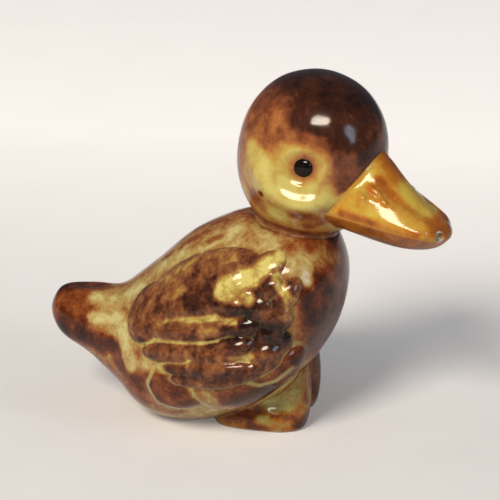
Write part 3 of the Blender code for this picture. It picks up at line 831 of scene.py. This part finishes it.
# The chip: its middle and half sizes in mm, the way it faces, and its edge in shares of its size
CHIP = (30.3, -2.9, -7.9)
CHIP_SIZE = (1.2, 0.9, 1.0)
CHIP_WAY = (1, -0.4, 0.3)
CHIP_EDGE = (1.05, 1.25)
SHARP_EDGE = math.radians(50)
BILL_HOLLOW_EDGE = (0.05, 0.3)
BILL_POOL = 0.5
BILL_GROUND = {"upper_bill": 0.24, "lower_bill": 0.46}
BILL_STROKES = (
    ((13.6, -8.6, -5.0), (15.0, -5.0, 0.6), 1.4, 0.06),
    ((15.5, 0.0, 3.0), (20.0, 0.0, 0.0), 2.4, 0.46),
    ((15.8, -6.0, -1.8), (16.4, -6.4, -3.0), 1.2, 0.48),
    ((16.6, -4.6, 0.0), (19.6, -4.6, -2.2), 1.1, 0.50),
    ((20.8, -4.4, -2.8), (24.6, -3.8, -4.6), 1.0, 0.34),
    ((21.5, -1.5, -1.2), (26.5, -1.5, -3.8), 2.0, 0.05),
    ((29.8, 0.0, -6.0), (30.8, 0.0, -8.0), 2.6, 0.46),
    ((28.2, -3.4, -5.6), (29.6, -3.0, -6.8), 1.6, 0.48),
    ((16.0, -8.6, -5.2), (26.0, -6.0, -6.6), 1.5, 0.10),
    ((12.5, -10.0, -6.6), (19.6, -8.4, -7.0), 0.8, 0.50),
    ((20.0, -8.0, -7.2), (27.0, -6.6, -7.6), 0.8, 0.46),
)
BILL_COATS = (
    (0.00, "#CDAE48"),
    (0.20, "#C08E35"),
    (0.38, "#B56A1E"),
    (0.56, "#8A461C"),
    (0.76, "#542812"),
    (1.00, "#28130B"),
)
BILL_BREAK = (0.5, 0.2)

halves = []
for name in ("upper_bill", "lower_bill"):
    half = clay_for(name, name + "_clay")
    modify(half, "DISPLACE", strength=BILL_SLIP, mid_level=0.0)
    soften(half, BILL_GRAIN, BILL_PASSES)
    halves.append(half)
blank = lute(join(*halves), head, ROOT_GRAIN, ROOT_PASSES)
wrinkles = []
forwards, sideways, upwards = NOSTRIL_OUT
for side in (RIGHT, LEFT):
    out = head_turned.to_3x3() @ Vector((forwards, side * sideways, upwards))
    for place, size, spin in NOSTRILS:
        wrinkle = head_place @ on_side(place, side)
        wrinkles.append(add_lump(wrinkle, size, out, math.radians(side * spin)))
bill = lute(join(blank, *wrinkles), head, BILL_GRAIN, NOSTRIL_PASSES)
chip = head_place @ (Vector(CHIP) * MM)
cut(bill, "DIFFERENCE", add_lump(chip, CHIP_SIZE, head_turned.to_3x3() @ Vector(CHIP_WAY)))
bill_place = head_place @ Matrix.Rotation(BILL_PITCH, 4, "Y")
over_mouth = bill_place @ Matrix.Translation((0, 0, MOUTH_BLOCK / 2 - MOUTH_BELOW))
bill_glaze = iron_glaze("bill_amber_glaze", BILL_COATS, *BILL_BREAK)
for name, operation in (("upper_bill", "INTERSECT"), ("lower_bill", "DIFFERENCE")):
    half = copy_of(bill, name + "_pressed")
    cut(half, operation, add_block(over_mouth, (MOUTH_BLOCK, MOUTH_BLOCK, MOUTH_BLOCK)))
    half = keep_largest(half)

    places = points_of(half)
    seen = from_head(places)
    swell = np.zeros(len(places))
    brush(near_side_of(seen), swell, [BILL_SWELL])
    swell *= ease(distance_to(places, head), *SWELL_EDGE)
    swell_way = np.tile(SWELL_WAY, (len(places), 1))
    swell_way[:, 1] *= -np.sign(seen[:, 1])
    places += swell[:, None] * swell_way @ np.array(head_turned.to_3x3()).T
    half.data.vertices.foreach_set("co", places.ravel() * MM)

    seen = from_head(places)
    iron = np.full(len(places), BILL_GROUND[name])
    if name == "upper_bill":
        brush(near_side_of(seen), iron, BILL_STROKES)
    pool = BILL_POOL * ease(-relief_of(half, HOLLOW_PASSES), *BILL_HOLLOW_EDGE)
    from_chip = np.linalg.norm((seen - CHIP) / CHIP_SIZE, axis=1)
    lay_coats(half, iron, pool, fade(from_chip, *CHIP_EDGE))
    fire(half, bill_glaze)
    bpy.ops.object.shade_smooth_by_angle(angle=SHARP_EDGE)
    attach(half, "root")
    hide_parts(name)
bpy.data.objects.remove(bill)

# Eyes
# Each eye is a drop of black glaze, laid in the dish of the face with a brush. The kiln melts it to
# a smooth dome, which stays in place by itself.
EYE_DROP = (1.85, 1.85, 1.0)
EYE_PROUD = 0.3 * MM
EYE_ROUGHNESS = 0.06
EYE_IOR = 1.3
EYE_COLOURS = ((0.35, "#0B0807"), (0.65, "#1C120D"))

# Black glaze, near black with a faint brown cloud. It gives the eye one small sharp light.
black_glaze = bpy.data.materials.new("eye_black_glaze")
black_glaze.use_nodes = True
eye_tree = black_glaze.node_tree
eye_place = add_node(eye_tree, "ShaderNodeTexCoord", {}).outputs["Object"]
eye_cloud = add_node(
    eye_tree, "ShaderNodeTexNoise", {"Vector": eye_place, "Scale": 1 / SPECK, "Detail": 2.0}
).outputs["Fac"]
eye_tone = add_node(eye_tree, "ShaderNodeValToRGB", {"Fac": eye_cloud, "stops": EYE_COLOURS})
eye_shader = eye_tree.nodes["Principled BSDF"]
eye_tree.links.new(eye_tone.outputs["Color"], eye_shader.inputs["Base Color"])
eye_shader.inputs["Roughness"].default_value = EYE_ROUGHNESS
eye_shader.inputs["IOR"].default_value = EYE_IOR
for name, spot in eye_spots.items():
    out = (spot - head_middle).normalized()
    eye = add_lump(spot + out * EYE_PROUD, EYE_DROP, out)
    eye.name = name + "_drop"
    cut(eye, "DIFFERENCE", copy_of(head, "face"))
    eye = keep_largest(eye)
    fire(eye, black_glaze)
    bpy.ops.object.shade_smooth_by_angle(angle=SHARP_EDGE)
    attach(eye, "root")
    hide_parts(name)

# Floor, light and camera
# The figure stands on a sheet of pale paper. A broad front light shows its colours, the glaze mirrors
# a warm lamp over the camera and a window at the side, and a dim pale room fills the shadows.
FLOOR_SIZE = 6
FIBRE = 25 * MM
PAPER_ROUGHNESS = 0.7
PAPER_COLOURS = ((0.3, "#DFDEDC"), (0.7, "#E4E3E1"))
# The paper glows for the camera, more behind the figure than in front of it, and glaze mirrors a
# share of that
PAPER_NEAR, PAPER_FAR = 0.0, 0.22
PAPER_GLOW = (0.16, 0.57)
MIRRORED_GLOW = 0.5
GLOW_COLOUR = "#FFF6EE"
# The camera looks at the figure's right side, a little from the front and from above. The photograph
# is square, and has this scale at the figure's middle
VIEW_TURN = math.radians(12)
VIEW_RISE = math.radians(18)
VIEW_REACH = 0.38
VIEW_TARGET = Vector((0, 0, 0.036))
VIEW_SHIFT = (0.00515, -0.00958)
PHOTO_PIXELS, PIXELS_PER_METRE = 500, 4938.18
# Lamps: the way from the figure, distance, width and height, all in metres, power in watts, colour
WARM_LAMP = ((0.240, -0.625, 0.743), 0.7, (0.36, 0.19), 5.8, "#FFF0DC")
WINDOW = ((0.888, -0.288, 0.358), 0.9, (0.22, 0.36), 1.3, "#D6E8FF")
FRONT_LIGHT = ((-0.25, -0.72, 0.65), 1.2, (0.45, 0.45), 14.2, "#FFF6EA")
ROOM_COLOUR = "#D6E4F8"
ROOM_LIGHT = 0.14

bpy.ops.mesh.primitive_plane_add(size=FLOOR_SIZE)
floor = bpy.context.active_object
floor.name = "floor"
# Pale matt paper, with a faint cloud of fibres that is drawn coarse enough to show.
paper = bpy.data.materials.new("pale_paper")
paper.use_nodes = True
paper_place = add_node(paper.node_tree, "ShaderNodeTexCoord", {}).outputs["Object"]
fibre = add_node(
    paper.node_tree, "ShaderNodeTexNoise", {"Vector": paper_place, "Scale": 1 / FIBRE, "Detail": 4.0}
).outputs["Fac"]
tone = add_node(paper.node_tree, "ShaderNodeValToRGB", {"Fac": fibre, "stops": PAPER_COLOURS})
paper_shader = paper.node_tree.nodes["Principled BSDF"]
paper.node_tree.links.new(tone.outputs["Color"], paper_shader.inputs["Base Color"])
paper_shader.inputs["Roughness"].default_value = PAPER_ROUGHNESS
paper_shader.inputs["Emission Color"].default_value = linear(GLOW_COLOUR)
rays = add_node(paper.node_tree, "ShaderNodeLightPath", {}).outputs
seen_by = add_node(
    paper.node_tree,
    "ShaderNodeMath",
    {"operation": "MULTIPLY_ADD", 0: rays["Is Glossy Ray"], 1: MIRRORED_GLOW, 2: rays["Is Camera Ray"]},
).outputs[0]
depth = add_node(paper.node_tree, "ShaderNodeSeparateXYZ", {"Vector": paper_place}).outputs["Y"]
glow = add_node(
    paper.node_tree,
    "ShaderNodeMapRange",
    {
        "Value": depth,
        "From Min": PAPER_NEAR,
        "From Max": PAPER_FAR,
        "To Min": PAPER_GLOW[0],
        "To Max": PAPER_GLOW[1],
    },
).outputs[0]
glow_seen = add_node(
    paper.node_tree, "ShaderNodeMath", {"operation": "MULTIPLY", 0: glow, 1: seen_by}
).outputs[0]
paper.node_tree.links.new(glow_seen, paper_shader.inputs["Emission Strength"])
floor.data.materials.append(paper)

towards = Vector(
    (
        math.sin(VIEW_TURN) * math.cos(VIEW_RISE),
        -math.cos(VIEW_TURN) * math.cos(VIEW_RISE),
        math.sin(VIEW_RISE),
    )
)
bpy.ops.object.camera_add(location=VIEW_TARGET + towards * VIEW_REACH)
camera = bpy.context.active_object
camera.rotation_euler = towards.to_track_quat("Z", "Y").to_euler()
camera.data.lens = camera.data.sensor_width * VIEW_REACH * PIXELS_PER_METRE / PHOTO_PIXELS
camera.data.shift_x, camera.data.shift_y = VIEW_SHIFT
bpy.context.scene.camera = camera


def add_lamp(name, way, reach, size, power, colour):
    """A soft round lamp that looks at the figure."""
    place = VIEW_TARGET + Vector(way).normalized() * reach
    bpy.ops.object.light_add(type="AREA", location=place)
    lamp = bpy.context.active_object
    lamp.name = name
    lamp.rotation_euler = Vector(way).to_track_quat("Z", "Y").to_euler()
    lamp.data.shape = "ELLIPSE"
    lamp.data.size, lamp.data.size_y = size
    lamp.data.energy = power
    lamp.data.color = linear(colour)[:3]
    return lamp


add_lamp("warm_lamp", *WARM_LAMP).visible_diffuse = False
add_lamp("window", *WINDOW)
add_lamp("front_light", *FRONT_LIGHT).visible_glossy = False

world = bpy.context.scene.world or bpy.data.worlds.new("room_light")
bpy.context.scene.world = world
world.use_nodes = True
room = world.node_tree.nodes["Background"]
room.inputs["Strength"].default_value = ROOM_LIGHT
room.inputs["Color"].default_value = linear(ROOM_COLOUR)
bpy.context.scene.view_settings.view_transform = "Standard"
